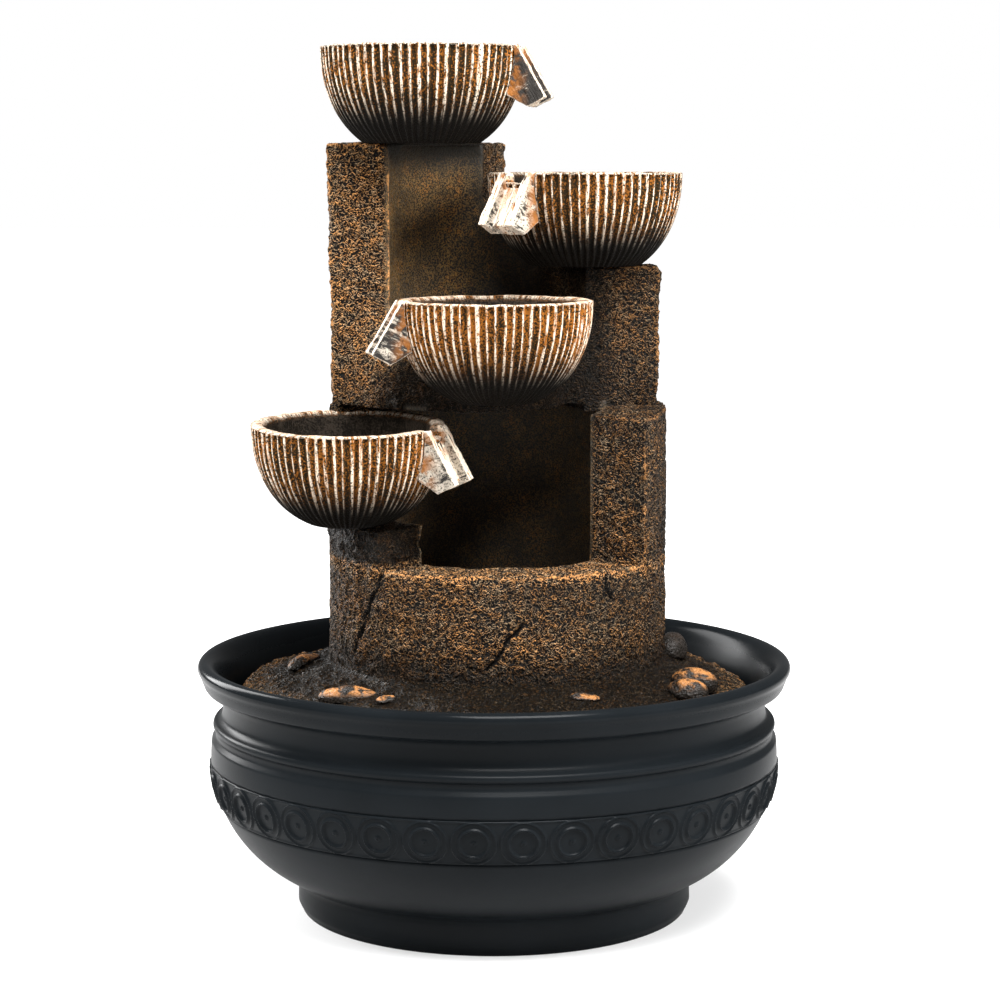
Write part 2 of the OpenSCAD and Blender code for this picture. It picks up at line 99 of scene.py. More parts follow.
def make_stage():
    mesh = bpy.data.meshes.new("floor")
    corners = [(-1, -1), (1, -1), (1, 1), (-1, 1)]
    mesh.from_pydata([(FLOOR_REACH * x, FLOOR_REACH * y, 0) for x, y in corners], [], [(0, 1, 2, 3)])
    floor = new_object("floor", mesh)
    floor.data.materials.append(floor_material())
    make_world()
    make_softbox("softbox_left", (-1.35, -0.35, 0.9), (0.5, 1.0), 32, glossy=False)
    make_softbox("softbox_right", (1.35, -0.55, 0.8), (0.5, 1.0), 34, glossy=False)
    make_softbox("softbox_top", (0.2, -0.75, 1.45), (0.9, 0.7), 54)
    make_softbox("softbox_back", (-0.95, 0.8, 0.7), (0.5, 0.9), 18)
    bpy.context.scene.view_settings.view_transform = "Standard"


def make_world():
    """White where the camera sees it, and a dim room for everything else."""
    world = bpy.data.worlds.new("studio")
    world.use_nodes = True
    nodes, links = world.node_tree.nodes, world.node_tree.links
    room = nodes["Background"]
    room.inputs["Color"].default_value = (1, 1, 1, 1)
    room.inputs["Strength"].default_value = ROOM_LIGHT
    white = nodes.new("ShaderNodeBackground")
    white.inputs["Color"].default_value = (1, 1, 1, 1)
    either = nodes.new("ShaderNodeMixShader")
    links.new(nodes.new("ShaderNodeLightPath").outputs["Is Camera Ray"], either.inputs["Fac"])
    links.new(room.outputs[0], either.inputs[1])
    links.new(white.outputs[0], either.inputs[2])
    links.new(either.outputs[0], nodes["World Output"].inputs["Surface"])
    bpy.context.scene.world = world


# ---------------- shader nodes

class Shader:
    """A material and short ways to add nodes to it."""

    def __init__(self, name):
        self.material = bpy.data.materials.new(name)
        self.material.use_nodes = True
        self.tree = self.material.node_tree
        self.surface = self.tree.nodes["Principled BSDF"]
        self.place = self.tree.nodes.new("ShaderNodeTexCoord").outputs["Object"]

    def put(self, socket, value):
        """Links an output to a socket, or sets its value."""
        if isinstance(value, bpy.types.NodeSocket):
            self.tree.links.new(value, socket)
        elif isinstance(value, tuple) and len(value) == 3 and socket.type == "RGBA":
            socket.default_value = (*value, 1)
        else:
            socket.default_value = value

    def set(self, **values):
        for name, value in values.items():
            self.put(self.surface.inputs[name.replace("_", " ")], value)

    def constant(self, name, value):
        """Sets a socket's own value, because the export drops a linked one on such sockets."""
        self.surface.inputs[name].default_value = value

    def node(self, kind, inputs, **settings):
        """A new node with these settings, and these inputs, by name or number, linked or set."""
        node = self.tree.nodes.new("ShaderNode" + kind)
        for name, value in settings.items():
            setattr(node, name, value)
        for name, value in inputs.items():
            self.put(node.inputs[name], value)
        return node

    def attribute(self, name, output="Fac"):
        return self.node("Attribute", {}, attribute_name=name).outputs[output]

    def vector_math(self, operation, a, b):
        return self.node("VectorMath", {0: a, 1: b}, operation=operation).outputs["Vector"]

    def noise(self, size, detail=2.0, roughness=0.5, distortion=0.0, vector=None):
        """Noise from 0 to 1, with lumps of about the given size in metres."""
        inputs = {"Vector": self.place if vector is None else vector, "Scale": 1 / size, "Detail": detail,
                  "Roughness": roughness, "Distortion": distortion}
        return self.node("TexNoise", inputs).outputs["Fac"]

    def math(self, operation, a, b=0.0, clamp=False):
        return self.node("Math", {0: a, 1: b}, operation=operation, use_clamp=clamp).outputs[0]

    def add(self, total, *others):
        for other in others:
            total = self.math("ADD", total, other)
        return total

    def times(self, product, *others, clamp=False):
        for other in others:
            product = self.math("MULTIPLY", product, other, clamp)
        return product

    def swing(self, value, gain):
        """How far a value is from 0.5, times a gain."""
        return self.times(self.math("SUBTRACT", value, 0.5), gain)

    def span(self, value, low, high, to_low=0.0, to_high=1.0):
        """A smooth step from to_low to to_high as value goes from low to high."""
        inputs = {"Value": value, "From Min": low, "From Max": high, "To Min": to_low, "To Max": to_high}
        return self.node("MapRange", inputs, interpolation_type="SMOOTHSTEP").outputs["Result"]

    def mix(self, share, a, b):
        return self.node("Mix", {"Factor": share, 6: a, 7: b}, data_type="RGBA").outputs[2]

    def ridges(self, size, sharp, distortion=0.6, vector=None):
        """Thin worm-like ridges: 1 on a crest and 0 between them."""
        lump = self.noise(size, 1.5, 0.5, distortion, vector)
        off = self.math("ABSOLUTE", self.math("SUBTRACT", lump, 0.5))
        return self.span(off, 0.0, sharp, 1.0, 0.0)

    def distance(self, vector):
        """How far a place is from the frame's origin."""
        return self.node("VectorMath", {0: vector}, operation="LENGTH").outputs["Value"]

    def upward(self, vector):
        """How high a place is."""
        return self.node("SeparateXYZ", {0: vector}).outputs["Z"]

    def bump(self, height, depth, strength=1.0):
        node = self.node("Bump", {"Strength": strength, "Distance": depth, "Height": height})
        self.put(self.surface.inputs["Normal"], node.outputs["Normal"])


# linear colours
BASIN_BLACK = (0.0052, 0.0064, 0.0074)
BASIN_GREY = (0.0070, 0.0086, 0.0100)
DARK = (0.0050, 0.0042, 0.0034)
PLAIN_STONE = (0.030, 0.029, 0.026)
OCHRE = (0.31, 0.185, 0.070)
WARM_OCHRE = (0.42, 0.20, 0.055)
TAN = (0.48, 0.325, 0.185)
COPPER = (0.66, 0.305, 0.095)
BRIGHT_COPPER = (0.72, 0.34, 0.12)
PEBBLE_COPPER = (0.36, 0.155, 0.048)
PEBBLE_GREY = (0.024, 0.020, 0.017)
CREAM = (0.80, 0.68, 0.54)
EDGE_CREAM = (0.82, 0.72, 0.60)
FLANK_CREAM = (0.50, 0.44, 0.36)
FLANK_DARK = (0.024, 0.021, 0.018)
RUST = (0.30, 0.105, 0.016)
SOOT = (0.006, 0.005, 0.004)
GREY_SOOT = (0.022, 0.018, 0.015)
OLIVE = (0.022, 0.015, 0.007)
BOWL_INSIDE = (0.010, 0.008, 0.006)
BOWL_DUST = (0.036, 0.028, 0.021)

# how far apart a wave texture's lines are at a scale of 1, in metres
WAVE_PITCH = 0.31

# sizes of grain, in metres
FINE_GRAIN = 0.0009
STONE_RIDGE = 0.0015
# how far above a ridge its painted light and shade is sampled, in metres
RIDGE_LIGHT_STEP = 0.00045

# specular levels
MATT = 0.06
SATIN = 0.25

# heights between which handling has polished the basin's neck and lip
RUBBED_FROM, RUBBED_TO = 0.106, 0.119


def floor_material():
    """Pale paper that glows more further out, for the camera only, so that it has no horizon."""
    s = Shader("floor_white")
    grain = s.noise(0.15, 2)
    far = s.distance(s.place)
    seen = s.node("LightPath", {}).outputs["Is Camera Ray"]
    s.set(Base_Color=s.mix(s.span(grain, 0.3, 0.7), (0.54, 0.54, 0.54), (0.56, 0.56, 0.56)), Roughness=0.8,
          Emission_Color=(1.0, 1.0, 1.0),
          Emission_Strength=s.times(seen, s.span(far, 0.07, 0.34, 0.40, 0.95)))
    return s.material


def basin_material():
    """Satin black with a bluish cast, more polished at the lip."""
    s = Shader("satin_black")
    cloud = s.noise(0.05, 3)
    grain = s.noise(FINE_GRAIN, 2)
    rubbed = s.span(s.upward(s.place), RUBBED_FROM, RUBBED_TO, 0.0, -0.16)
    s.set(
        Base_Color=s.mix(s.span(cloud, 0.3, 0.7), BASIN_BLACK, BASIN_GREY),
        Roughness=s.add(s.span(s.add(cloud, s.times(grain, 0.3)), 0.3, 1.0, 0.28, 0.38), rubbed),
    )
    s.constant("Specular IOR Level", MATT)
    s.bump(grain, 0.00003, 0.6)
    return s.material


def stone_material(name, copper=1.0, wet=0.0):
    """Dark hammered stone, dry-brushed with tan and copper, with painted light on the upper side of each
    small ridge and painted shade on its lower side, and with smooth niche walls misted in ochre.
    """
    s = Shader(name)
    rough, edge, relief, paint_and_shade = map(s.attribute, ("rough", "edge", "relief", "paint_and_shade"))
    worms = s.ridges(STONE_RIDGE, 0.15, 0.5)
    above = s.ridges(STONE_RIDGE, 0.15, 0.5, s.vector_math("ADD", s.place, (0, 0, RIDGE_LIGHT_STEP)))
    pits = s.noise(FINE_GRAIN, 1.5, 0.6, 0.3)
    patch = s.noise(0.014, 3, 0.6)
    tint = s.noise(0.0032, 2, 0.6)
    mist_grain = s.noise(0.0007, 1.5, 0.6)

    # the textured faces: black between the small ridges, which the brush left tan or copper
    height = s.add(s.times(worms, 0.75), s.swing(pits, 0.95), s.swing(relief, 0.22))
    # painted light and shade: each small ridge is lighter on its upper side and darker on its lower side, as
    # if lit from above
    painted_ridge_light = s.span(s.math("SUBTRACT", worms, above), -0.30, 0.50, 0.04, 1.60)
    brushed = s.times(s.span(height, 0.36, 0.86), s.span(paint_and_shade, 0.0, 0.95, 0.05, 1.0))
    brushed = s.times(brushed, painted_ridge_light, clamp=True)
    hue = s.add(s.times(tint, 0.6), s.times(patch, 0.4 * copper))
    ridge_colour = s.mix(s.span(hue, 0.38, 0.60), TAN, COPPER)
    textured = s.mix(brushed, DARK, ridge_colour)

    # the smooth niche walls: ochre mist, thinned by the painted shade in the paint share
    mist = s.times(s.span(mist_grain, 0.42, 0.62), s.span(patch, 0.34, 0.62, 0.45, 1.0))
    mist_colour = s.mix(s.span(hue, 0.50, 0.64), OCHRE, WARM_OCHRE)
    smooth = s.mix(s.times(mist, paint_and_shade, clamp=True), PLAIN_STONE, mist_colour)

    # the edges, where the brush left most
    body = s.mix(rough, smooth, textured)
    ragged = s.add(edge, s.swing(tint, 1.5))
    worn = s.times(s.span(ragged, 0.20, 0.70), s.span(height, 0.02, 0.34),
                   s.span(patch, 0.34, 0.58, 0.35, 1.0))
    worn = s.times(worn, s.times(paint_and_shade, copper), clamp=True)
    s.set(
        Base_Color=s.mix(worn, body, BRIGHT_COPPER),
        Roughness=s.span(height, 0.1, 0.8, 0.72 - 0.40 * wet, 0.34 - 0.22 * wet),
    )
    s.constant("Specular IOR Level", 0.20 - 0.08 * wet)
    relief_share = s.span(rough, 0, 1, 0.10, 1.0)
    bumps = s.add(s.times(height, relief_share), s.times(mist_grain, 0.15))
    s.bump(bumps, 0.0018, 1.0)
    return s.material


def bowl_material():
    """Ribs dry-brushed with cream and rust over black, which fades to black at the foot."""
    s = Shader("ribbed_resin")
    crest, down, inside, luck = map(s.attribute, ("crest", "down", "inside", "luck"))
    run = s.attribute("run", "Vector")
    streak = s.noise(0.0011, 3, 0.65, 0.4, s.vector_math("MULTIPLY", run, (1.0, 0.16, 1.0)))
    wide = s.noise(0.0045, 2, 0.5, 0.3, s.vector_math("MULTIPLY", run, (1.0, 0.22, 1.0)))
    speck = s.noise(FINE_GRAIN, 2, 0.6)

    # the grooves: rust mottled with olive and black, more rust beside the ribs
    rust_fade = s.span(down, 0.34, 0.78, 1.0, 0.0)
    level = s.add(s.times(crest, 0.30), s.swing(speck, 2.8), s.swing(wide, 0.9), s.swing(luck, 0.22))
    level = s.add(level, s.attribute("warmth"))
    rust = s.times(s.span(level, -0.05, 0.40), rust_fade)
    painted = s.mix(rust, s.mix(rust_fade, SOOT, OLIVE), RUST)
    # the ribs: cream, thin and broken
    tip = s.add(crest, s.swing(luck, 0.26), s.swing(wide, 0.46))
    cream = s.times(s.span(tip, 0.66, 0.82), s.span(streak, 0.38, 0.56), s.span(down, 0.42, 0.84, 1.0, 0.0),
                    s.span(speck, 0.34, 0.50))
    painted = s.mix(cream, painted, CREAM)
    dusty = s.span(s.add(speck, s.noise(0.010, 3, 0.6)), 0.85, 1.15)
    s.set(
        Base_Color=s.mix(inside, painted, s.mix(dusty, BOWL_INSIDE, BOWL_DUST)),
        Roughness=s.span(s.add(streak, speck), 0.6, 1.4, 0.42, 0.62),
    )
    s.constant("Specular IOR Level", MATT)
    s.bump(s.add(streak, speck), 0.0007, 0.9)
    return s.material


def chute_material():
    """Cream streaks along the flow over soot and rust, with thin cream edges."""
    s = Shader("chute_resin")
    flow = s.attribute("flow", "Vector")
    side, edge, along, shade, bed = map(s.attribute, ("side", "edge", "along", "shade", "bed"))
    streak = s.noise(0.0013, 3, 0.65, 0.5, s.vector_math("MULTIPLY", flow, (0.16, 1.0, 1.0)))
    cross = s.noise(0.0016, 3, 0.65, 0.6, s.vector_math("MULTIPLY", flow, (0.8, 1.0, 0.22)))
    patch = s.noise(0.0045, 2, 0.55)
    speck = s.noise(FINE_GRAIN, 2, 0.65)
    under = s.mix(s.span(patch, 0.42, 0.56), GREY_SOOT, RUST)
    brushing = s.times(s.span(streak, 0.38, 0.50), s.span(speck, 0.30, 0.44),
                       s.span(bed, 0.0, 1.0, 1.3, 0.55))
    top = s.mix(brushing, under, CREAM)
    rubbed = s.times(s.span(s.add(cross, shade), 0.47, 0.62), s.span(speck, 0.32, 0.50))
    flank = s.mix(rubbed, FLANK_DARK, FLANK_CREAM)
    body = s.mix(side, top, flank)
    rusted = s.times(s.span(patch, 0.38, 0.56), s.span(along, 0.05, 0.60, 0.95, 0.0))
    body = s.mix(rusted, body, RUST)
    tip = s.times(s.span(edge, 0.45, 0.95), s.span(speck, 0.30, 0.52))
    s.set(Base_Color=s.mix(tip, body, EDGE_CREAM), Roughness=s.span(speck, 0.3, 0.7, 0.45, 0.65))
    s.constant("Specular IOR Level", SATIN)
    s.bump(s.add(streak, s.times(speck, 0.5)), 0.0007, 0.9)
    return s.material


def pebble_material(name, copper):
    """A wet dark stone with copper rubbed on its top."""
    s = Shader(name)
    top = s.attribute("top")
    patch = s.noise(0.0050, 3, 0.6, 0.4)
    fine = s.noise(0.0010, 2, 0.6)
    brushed = s.times(s.span(top, 0.25, 0.85), s.span(patch, 0.42, 0.58))
    brushed = s.times(brushed, s.span(fine, 0.30, 0.48, 0.4, copper), clamp=True)
    brushed = s.times(brushed, copper, clamp=True)
    body = s.mix(s.span(fine, 0.35, 0.65), SOOT, PEBBLE_GREY)
    s.set(Base_Color=s.mix(brushed, body, PEBBLE_COPPER), Roughness=s.span(fine, 0.3, 0.7, 0.20, 0.36))
    s.constant("Specular IOR Level", SATIN)
    s.bump(s.add(fine, patch), 0.0009, 0.9)
    return s.material


def plastic_material(name, dark, light, roughness, grain_size=0.0008):
    """Moulded plastic, rubber or ceramic, clouded between two shades."""
    s = Shader(name)
    cloud = s.noise(0.02, 2)
    grain = s.noise(grain_size, 2)
    s.set(Base_Color=s.mix(s.span(cloud, 0.3, 0.7), dark, light),
          Roughness=s.span(grain, 0.3, 0.7, roughness - 0.05, roughness + 0.07))
    s.bump(grain, 0.00004, 0.5)
    return s.material


def lined_material(name, dark, light, pitch, metallic, roughness):
    """Fine parallel lines, as on laminations or on a winding."""
    s = Shader(name)
    inputs = {"Scale": WAVE_PITCH / pitch, "Distortion": 0.3, "Vector": s.place}
    line = s.node("TexWave", inputs, bands_direction="Y").outputs["Fac"]
    s.set(Base_Color=s.mix(line, dark, light), Roughness=s.span(line, 0, 1, roughness + 0.15, roughness))
    s.constant("Metallic", metallic)
    s.bump(line, 0.0002, 0.8)
    return s.material


# ---------------- mesh helpers

def finish_piece(piece, material, body, nodes):
    piece.data.materials.clear()
    piece.data.materials.append(material)
    piece.data.polygons.foreach_set("use_smooth", np.ones(len(piece.data.polygons), bool))
    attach(piece, body)
    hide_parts(*nodes)


def points_of(mesh):
    flat = np.zeros(len(mesh.vertices) * 3)
    mesh.vertices.foreach_get("co", flat)
    return flat.reshape(-1, 3)


def normals_of(mesh):
    flat = np.zeros(len(mesh.vertices) * 3, np.float32)
    mesh.vertex_normals.foreach_get("vector", flat)
    return flat.reshape(-1, 3).astype(float)


def move_points(mesh, points):
    mesh.vertices.foreach_set("co", points.astype(np.float32).ravel())
    mesh.update()


def store(mesh, name, values):
    """Keeps a number, or a vector, for each vertex."""
    kind, key = ("FLOAT", "value") if values.ndim == 1 else ("FLOAT_VECTOR", "vector")
    layer = mesh.attributes.new(name, kind, "POINT")
    layer.data.foreach_set(key, values.astype(np.float32).ravel())


def neighbours(mesh):
    pairs = np.zeros(len(mesh.edges) * 2, np.int32)
    mesh.edges.foreach_get("vertices", pairs)
    pairs = pairs.reshape(-1, 2)
    a = np.concatenate([pairs[:, 0], pairs[:, 1]])
    b = np.concatenate([pairs[:, 1], pairs[:, 0]])
    return a, b, np.maximum(np.bincount(a, minlength=len(mesh.vertices)), 1)


def spread(values, near, rounds):
    """Averages per-vertex numbers with their neighbours', so many times."""
    a, b, count = near
    for _ in range(rounds):
        if values.ndim == 1:
            values = (values + np.bincount(a, values[b], len(count)) / count) / 2
        else:
            around = [np.bincount(a, values[b, k], len(count)) / count for k in range(values.shape[1])]
            values = (values + np.stack(around, 1)) / 2
    return values


def edge_share(points, normals, near, rounds, full):
    """How far each point stands out from the points round it, as a share of a full edge's distance."""
    return np.einsum("ij,ij->i", points - spread(points, near, rounds), normals) / full


def smooth_step(x, low, high):
    t = np.clip((x - low) / (high - low), 0, 1)
    return t * t * (3 - 2 * t)


def lattice(x, y, z, seed):
    """A repeatable number from 0 to 1 at each whole point."""
    h = (x * 374761393 + y * 668265263 + z * 1442695041 + seed * 974711) & 0xFFFFFFFF
    h = ((h ^ (h >> 13)) * 1274126177) & 0xFFFFFFFF
    return ((h ^ (h >> 16)) & 0xFFFF) / 65535


def lumps(points, size, seed=0):
    """Smooth noise from -1 to 1, with lumps of the given size."""
    turn = np.array([[0.80, 0.60, 0.0], [-0.48, 0.64, 0.60], [0.36, -0.48, 0.80]])
    p = points @ turn.T / size + 500 + 17.3 * seed
    low = np.floor(p).astype(np.int64)
    t = p - low
    t = t * t * t * (t * (6 * t - 15) + 10)
    total = np.zeros(len(p))
    for corner in np.ndindex(2, 2, 2):
        share = np.prod([t[:, k] if corner[k] else 1 - t[:, k] for k in range(3)], axis=0)
        total += share * lattice(low[:, 0] + corner[0], low[:, 1] + corner[1], low[:, 2] + corner[2], seed)
    return 2 * total - 1


def ridged(points, size, seed=0):
    """Worm-like crests, 1 on a crest and 0 between."""
    field = lumps(points, size, seed) + 0.35 * lumps(points, size / 2, seed + 1)
    return 1 - smooth_step(np.abs(field), 0, 0.42)


def remeshed(name, nodes, voxel, cut=None, sunk=()):
    """One closed mesh with even faces over the given CAD nodes, or over their part above or below a height.

    The sunk nodes' feet go a little way into what they stand on, so that no seam shows.
    """
    work = bmesh.new()
    for node in nodes:
        work.from_mesh(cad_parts[node].data)
        if node in sunk:
            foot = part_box(node)[0].z
            for vert in work.verts:
                if abs(vert.co.z - foot) < 0.01 * MM:
                    vert.co.z -= 3 * MM
    bmesh.ops.remove_doubles(work, verts=work.verts, dist=1e-6)
    if cut:
        side, height = cut
        halved = bmesh.ops.bisect_plane(
            work, geom=work.verts[:] + work.edges[:] + work.faces[:], plane_co=(0, 0, height),
            plane_no=(0, 0, 1), clear_outer=side == "below", clear_inner=side == "above")
        rim = [g for g in halved["geom_cut"] if isinstance(g, bmesh.types.BMEdge)]
        bmesh.ops.triangle_fill(work, edges=rim, use_beauty=True)
        bmesh.ops.recalc_face_normals(work, faces=work.faces)
    mesh = bpy.data.meshes.new(name)
    work.to_mesh(mesh)
    work.free()
    piece = new_object(name, mesh)
    voxels = piece.modifiers.new("voxels", "REMESH")
    voxels.mode = "VOXEL"
    voxels.voxel_size = voxel
    piece.data = bpy.data.meshes.new_from_object(piece.evaluated_get(bpy.context.evaluated_depsgraph_get()))
    piece.modifiers.clear()
    bpy.data.meshes.remove(mesh)
    return piece


def grid_mesh(name, rings, closed_rows=True):
    """A tube of quads through rings of points, in turn, and back to the first if closed_rows is true."""
    count, around = rings.shape[:2]
    index = np.arange(count * around).reshape(count, around)
    if closed_rows:
        index = np.concatenate([index, index[:1]])
    across = np.roll(index, -1, axis=1)
    faces = np.stack([index[:-1], across[:-1], across[1:], index[1:]], -1).reshape(-1, 4)
    mesh = bpy.data.meshes.new(name)
    mesh.from_pydata(rings.reshape(-1, 3).tolist(), [], faces.tolist())
    return mesh


def cap_ends(mesh, rows, around):
    """Closes the first and the last ring of an open grid with a fan round a middle point."""
    work = bmesh.new()
    work.from_mesh(mesh)
    work.verts.ensure_lookup_table()
    layers = list(work.verts.layers.float.values())
    ends = [[work.verts[start + k] for k in range(around)] for start in (0, (rows - 1) * around)]
    for ring in ends:
        middle = work.verts.new(sum((v.co for v in ring), ring[0].co * 0) / around)
        for layer in layers:
            middle[layer] = ring[0][layer]
        for k in range(around):
            work.faces.new((ring[k], ring[(k + 1) % around], middle))
    bmesh.ops.recalc_face_normals(work, faces=work.faces)
    work.to_mesh(mesh)
    work.free()


# ---------------- basin

RIM_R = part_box("basin_shell")[1].x
RIM_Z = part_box("basin_shell")[1].z
FOOT_R = 90.5 * MM
FLOOR_T = 4 * MM
WALL = 3 * MM
BELLY_ARC = 61 * MM
BELLY_X = 71.3 * MM
BELLY_Z = 74 * MM
FRIEZE_LOW = 51.2 * MM
FRIEZE_HIGH = 71.3 * MM
FRIEZE_DEPTH = 0.6 * MM
# where the first ring begins, in degrees from +X
FRIEZE_START = -89.15
RING_COUNT = 39
BASIN_STEPS = 256


def belly_r(z, arc=BELLY_ARC):
    """The belly's radius at a height, on an arc round BELLY_X, BELLY_Z."""
    return BELLY_X + np.sqrt(arc ** 2 - (z - BELLY_Z) ** 2)


def arc_points(x, y, r, start, end, steps):
    angles = np.radians(np.linspace(start, end, steps + 1))
    return [(x + r * math.cos(a), y + r * math.sin(a)) for a in angles]


def near_points(r, z, *offsets):
    """Points at offsets in millimetres from a radius and a height."""
    return [(r + x * MM, z + y * MM) for x, y in offsets]


def basin_profile():
    """The basin's section as radius and height, from its underside's middle to its floor's middle."""
    neck_r = RIM_R - 11.2 * MM
    lip_z = RIM_Z - 12.4 * MM
    inset = 0.7 * MM
    # the foot and the belly, sunk behind the frieze
    points = [(0.0, 0.0)]
    points += arc_points(FOOT_R - 1.5 * MM, 1.5 * MM, 1.5 * MM, -90, 0, 5)
    points += near_points(FOOT_R, 0, (0.9, 3), (1.6, 4.6), (1.5, 9), (1.4, 13), (1.7, 15))
    points += [(belly_r(z), z) for z in np.linspace(17.4 * MM, FRIEZE_LOW, 18)]
    points += [(belly_r(FRIEZE_LOW) - inset, FRIEZE_LOW + 0.05 * MM)]
    points += [(belly_r(FRIEZE_HIGH) - inset, FRIEZE_HIGH - 0.05 * MM)]
    points += [(belly_r(z), z) for z in np.linspace(FRIEZE_HIGH, 82 * MM, 8)]
    # the bead, the neck and the rolled rim
    points += near_points(RIM_R, 0, (-7.9, 83.2), (-8.0, 84.4))
    points += arc_points(RIM_R - 9 * MM, 88.7 * MM, 2.2 * MM, -75, 75, 10)
    points += near_points(neck_r, 0, (0.6, 92), (-0.1, 94), (-0.3, 97), (0, 100.5), (0.9, 103.4))
    points += near_points(neck_r, lip_z, (3.4, -0.6))
    points += near_points(RIM_R, lip_z, (-3.8, 0), (-2.9, 1.2), (-2.2, 3.2), (-1.6, 4.6), (-1.4, 5.4))
    points += arc_points(RIM_R - 3.5 * MM, RIM_Z - 3.5 * MM, 3.5 * MM, -38, 100, 16)
    # the inside
    points += near_points(RIM_R, RIM_Z, (-6, -0.7), (-8.2, -2.8), (-10, -6), (-11.6, -10), (-12.9, -14.5))
    points += [(RIM_R - 13.9 * MM, 99 * MM), (neck_r - WALL, 92 * MM)]
    points += [(belly_r(z, BELLY_ARC - WALL), z) for z in np.linspace(84 * MM, 22 * MM, 22)]
    points += near_points(FOOT_R, 0, (-2, 14), (-2.6, 6.5))
    points += [(FOOT_R - 4.6 * MM, FLOOR_T), (0.0, FLOOR_T)]
    return np.array(points)


def make_basin(material):
    profile = basin_profile()
    around = BASIN_STEPS
    angle = np.linspace(0, 2 * math.pi, around, endpoint=False)
    inner = profile[1:-1]
    rings = np.stack([np.outer(inner[:, 0], np.cos(angle)), np.outer(inner[:, 0], np.sin(angle)),
                      np.repeat(inner[:, 1:], around, 1)], -1)
    mesh = grid_mesh("basin_body", rings, closed_rows=False)
    cap_ends(mesh, len(inner), around)
    piece = new_object("basin_body", mesh)
    finish_piece(piece, material, "basin", ["basin_shell"])


def make_frieze(material):
    """The moulded band: rings of two circles and a dot, between two thin lines."""
    across, rows = 44, 50
    around = RING_COUNT * across
    first = math.radians(FRIEZE_START)
    angle = first + np.linspace(0, 2 * math.pi, around, endpoint=False)
    z = np.linspace(FRIEZE_LOW, FRIEZE_HIGH, rows + 1)
    base_r = belly_r(z)
    middle_z = (FRIEZE_LOW + FRIEZE_HIGH) / 2
    slope = (z - BELLY_Z) / BELLY_ARC
    phase = (np.arange(around) % across) / across - 0.5
    x = phase * 2 * math.pi * belly_r(middle_z) / RING_COUNT
    rise = (z - middle_z) / np.sqrt(1 - ((middle_z - BELLY_Z) / BELLY_ARC) ** 2)
    rho = np.hypot(x[None, :], rise[:, None]) / MM

    def bead(centre, half):
        return np.exp(-((rho - centre) / half) ** 2)

    # in millimetres: the outer circle, the inner circle, and the dot with its dimple
    height = 0.85 * bead(9.5, 0.42) + 0.2 * smooth_step(rho, 10.2, 9.4)
    height += 1.25 * bead(6.3, 0.60) - 0.5 * smooth_step(rho, 6.2, 5.2)
    height += 1.05 * smooth_step(rho, 1.6, 0.8) - 0.7 * smooth_step(rho, 0.6, 0.2)
    # the two lines that close the band, and its sunken edges
    from_line = np.minimum(z - z[0], z[-1] - z)[:, None] / MM
    height = np.maximum(height, 0) * smooth_step(from_line, 0, 0.4) + np.minimum(height, 0)
    height = np.maximum(height, 0.5 * np.exp(-((from_line - 0.55) / 0.45) ** 2))
    height = height * smooth_step(from_line, -0.01, 0.35) - 0.25 * (1 - smooth_step(from_line, 0, 0.2))
    height *= MM
    r = base_r[:, None] + height * np.cos(np.arcsin(slope))[:, None]
    zz = z[:, None] + height * slope[:, None]
    outer = np.stack([r * np.cos(angle), r * np.sin(angle), zz], -1)
    back_r = base_r - FRIEZE_DEPTH
    back = [np.stack([back_r[k] * np.cos(angle), back_r[k] * np.sin(angle), np.full(around, z[k])], -1)
            for k in (-1, 0)]
    mesh = grid_mesh("basin_frieze", np.concatenate([outer, back]))
    piece = new_object("basin_frieze", mesh)
    finish_piece(piece, material, "basin", ["basin_shell"])


# ---------------- stone tower

AXIS_X = (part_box("lower_drum")[0].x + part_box("lower_drum")[1].x) / 2
DRUM_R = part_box("lower_drum")[1].x - AXIS_X
LEDGE_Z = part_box("lower_drum")[1].z
DECK_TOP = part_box("rock_deck")[1].z
BLOCK_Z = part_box("left_pillar")[0].z
PILLAR_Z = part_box("left_pillar")[1].z
STEP_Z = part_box("left_step")[1].z
BORE_R = 49 * MM
UPPER_BORE_X = -3 * MM
UPPER_BORE_R = 45 * MM
# how far round from the front the low step and the post begin, in degrees
STEP_ANGLE = 43
POST_ANGLE = 58.7
STONE_SEED = 11
BROAD_HEIGHT = 0.50 * MM
RIDGE_HEIGHT = 0.75 * MM
RIDGE_SPACING = 3.0 * MM
CHIP_DEPTH = 2.2 * MM
CRACK_DEPTH = 1.8 * MM
# the plan of the upper blocks' join
JOIN_IN = (-9 * MM, 36 * MM)
JOIN_OUT = (6.5 * MM, 80 * MM)


def niche_share(points):
    """1 on the niches' and the pool's smooth walls, and 0 on the textured stone."""
    x, y, z = points.T
    lower = np.hypot(x - AXIS_X, y)
    upper = np.hypot(x - UPPER_BORE_X, y)
    low_wall = (np.abs(lower - BORE_R) < 1.6 * MM) & (z < BLOCK_Z + 2 * MM) & (z > LEDGE_Z - 30 * MM)
    pool = (lower < BORE_R + 1 * MM) & (z < LEDGE_Z - 4 * MM) & (z > LEDGE_Z - 30 * MM)
    high_wall = (np.abs(upper - UPPER_BORE_R) < 1.6 * MM) & (z > BLOCK_Z - 1 * MM)
    high_wall = high_wall * smooth_step(x, 38 * MM, 14 * MM) * smooth_step(z, 254 * MM, 264 * MM)
    roof = (upper < UPPER_BORE_R + 1 * MM) & (z > PILLAR_Z - 9 * MM) & (z < PILLAR_Z - 0.8 * MM)
    return np.maximum((low_wall | pool | roof).astype(float), high_wall)


